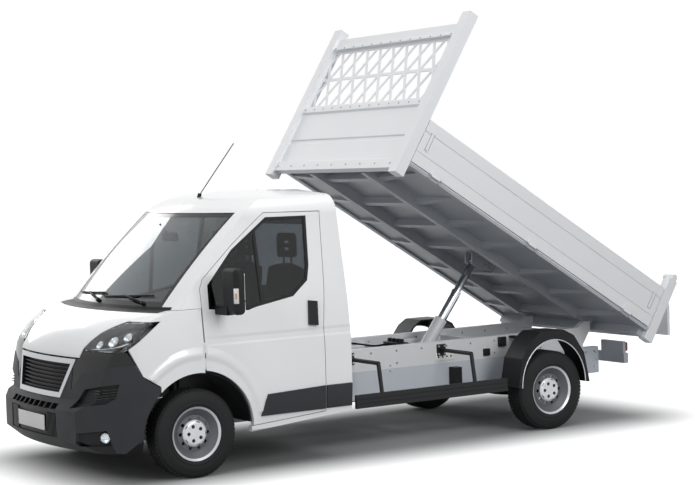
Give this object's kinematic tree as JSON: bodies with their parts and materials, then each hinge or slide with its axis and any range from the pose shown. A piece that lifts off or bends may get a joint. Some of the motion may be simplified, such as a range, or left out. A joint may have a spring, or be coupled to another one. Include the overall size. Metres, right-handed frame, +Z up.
{
  "type": "dump truck",
  "caption": "Light dump truck with a bonneted cab, steel-wheeled ladder chassis and a drop-sided load bed raised on a telescopic ram, its tailgate hanging open.",
  "frame": {"origin": "on the ground, under the middle of the whole truck's bounding box as pictured, bed raised", "axes": "+X towards the cab's nose, +Y to the truck's left, +Z up"},
  "size_m": [5.8108, 2.63, 3.5782],
  "materials": {
    "cab_paint": "gloss",
    "bed_paint": "satin",
    "frame_paint": "satin",
    "subframe_paint": "satin",
    "bumper_plastic": "grained",
    "trim_plastic": "grained",
    "black_steel": "satin",
    "glass": "tinted",
    "lamp": "clear over black",
    "rear_lamp": "gloss",
    "grille_silver": "satin",
    "seat_cloth": "woven",
    "cabin_plastic": "grained",
    "tyre": "matt",
    "wheel_silver": "satin",
    "chrome": "polished",
    "cast_metal": "rough"
  },
  "bodies": {
    "chassis": {"roof": "cab_paint", "cab_sides": "cab_paint", "cab_back": "cab_paint", "rear_window": "glass", "scuttle": "trim_plastic", "front_wings": "cab_paint", "front_lamps": "lamp", "windscreen": "glass", "bumper": "bumper_plastic", "arch_liners": "trim_plastic", "cab_floor": "cabin_plastic", "seats": "seat_cloth", "dashboard": "cabin_plastic", "steering_wheel": "cabin_plastic", "grille": "grille_silver", "wipers": "black_steel", "aerial": "black_steel", "chassis_frame": "frame_paint", "tipper_subframe": "subframe_paint", "front_suspension": "cast_metal", "rear_axle": "cast_metal", "engine": "cast_metal", "fuel_tank": "trim_plastic", "exhaust": "cast_metal", "hydraulic_pack": "black_steel", "side_guards": "black_steel", "mudguards": "trim_plastic", "rear_crossbar": "frame_paint", "rear_lamps": "rear_lamp", "spare_wheel": "tyre"},
    "door_left": {"door_left": "cab_paint", "door_glass_left": "glass", "door_trim_left": "trim_plastic", "mirror_left": "trim_plastic"},
    "dropside_left": {"dropside_left": "bed_paint"},
    "knuckle_left": {"knuckle_left": "cast_metal"},
    "door_right": {"door_right": "cab_paint", "door_glass_right": "glass", "door_trim_right": "trim_plastic", "mirror_right": "trim_plastic"},
    "dropside_right": {"dropside_right": "bed_paint"},
    "knuckle_right": {"knuckle_right": "cast_metal"},
    "wheel_fl": {"rim_fl": "wheel_silver", "tyre_fl": "tyre"},
    "wheel_fr": {"rim_fr": "wheel_silver", "tyre_fr": "tyre"},
    "wheel_rl": {"rim_rl": "wheel_silver", "tyre_rl": "tyre"},
    "wheel_rr": {"rim_rr": "wheel_silver", "tyre_rr": "tyre"},
    "bonnet": {"bonnet": "cab_paint"},
    "bed": {"bed_floor": "bed_paint", "bed_frame": "bed_paint", "headboard": "bed_paint", "headboard_screen": "bed_paint", "rear_posts": "bed_paint"},
    "tailgate": {"tailgate": "bed_paint"},
    "ram_barrel": {"ram_barrel": "subframe_paint"},
    "ram_stage": {"ram_stage": "chrome"},
    "ram_rod": {"ram_rod": "chrome"}
  },
  "joints": [
    {"name": "bed_tip", "type": "hinge", "parent": "chassis", "child": "bed", "pos_m": [-2.35, 0, 0.8], "axis": [0, -1, 0], "range_deg": [-31.6, 8.4]},
    {"name": "tailgate_swing", "type": "hinge", "parent": "bed", "child": "tailgate", "pos_m": [-2.87784, 0, 1.22668], "axis": [0, 1, 0], "range_deg": [-31.6, 58]},
    {"name": "dropside_left_fold", "type": "hinge", "parent": "bed", "child": "dropside_left", "pos_m": [-2.40449, 1.056, 0.88858], "axis": [-0.8517, 0, -0.524], "range_deg": [0, 172]},
    {"name": "dropside_right_fold", "type": "hinge", "parent": "bed", "child": "dropside_right", "pos_m": [-2.40449, -1.056, 0.88858], "axis": [0.8517, 0, 0.524], "range_deg": [0, 172]},
    {"name": "door_left_swing", "type": "hinge", "parent": "chassis", "child": "door_left", "pos_m": [1.892, 1.021, 1], "axis": [0, 0, -1], "range_deg": [0, 65]},
    {"name": "door_right_swing", "type": "hinge", "parent": "chassis", "child": "door_right", "pos_m": [1.892, -1.021, 1], "axis": [0, 0, 1], "range_deg": [0, 65]},
    {"name": "bonnet_lift", "type": "hinge", "parent": "chassis", "child": "bonnet", "pos_m": [2.1, 0, 1.262], "axis": [0, -1, 0], "range_deg": [0, 50]},
    {"name": "steer_left", "type": "hinge", "parent": "chassis", "child": "knuckle_left", "pos_m": [1.98, 0.74, 0.341], "axis": [0, 0, 1], "range_deg": [-35, 35]},
    {"name": "steer_right", "type": "hinge", "parent": "chassis", "child": "knuckle_right", "pos_m": [1.98, -0.74, 0.341], "axis": [0, 0, 1], "range_deg": [-35, 35]},
    {"name": "spin_fl", "type": "hinge", "parent": "knuckle_left", "child": "wheel_fl", "pos_m": [1.98, 0.905, 0.341], "axis": [0, 1, 0], "continuous": true},
    {"name": "spin_fr", "type": "hinge", "parent": "knuckle_right", "child": "wheel_fr", "pos_m": [1.98, -0.905, 0.341], "axis": [0, 1, 0], "continuous": true},
    {"name": "spin_rl", "type": "hinge", "parent": "chassis", "child": "wheel_rl", "pos_m": [-1.47, 0.895, 0.341], "axis": [0, 1, 0], "continuous": true},
    {"name": "spin_rr", "type": "hinge", "parent": "chassis", "child": "wheel_rr", "pos_m": [-1.47, -0.895, 0.341], "axis": [0, 1, 0], "continuous": true},
    {"name": "ram_tilt", "type": "hinge", "parent": "chassis", "child": "ram_barrel", "pos_m": [-0.847, 0, 0.69], "axis": [0, 1, 0], "range_deg": [-30, 10]},
    {"name": "ram_stage_slide", "type": "slide", "parent": "ram_barrel", "child": "ram_stage", "axis": [-0.6082, 0, 0.7938], "range_m": [-0.28, 0.08]},
    {"name": "ram_rod_slide", "type": "slide", "parent": "ram_stage", "child": "ram_rod", "axis": [-0.6082, 0, 0.7938], "range_m": [-0.28, 0.08]}
  ],
  "couplings": [
    {"joint": "steer_right", "follows": "steer_left", "ratio": 1},
    {"joint": "ram_tilt", "follows": "bed_tip", "ratio": 0.9},
    {"joint": "ram_stage_slide", "follows": "bed_tip", "m_per_rad": 0.4957},
    {"joint": "ram_rod_slide", "follows": "bed_tip", "m_per_rad": 0.4957}
  ]
}
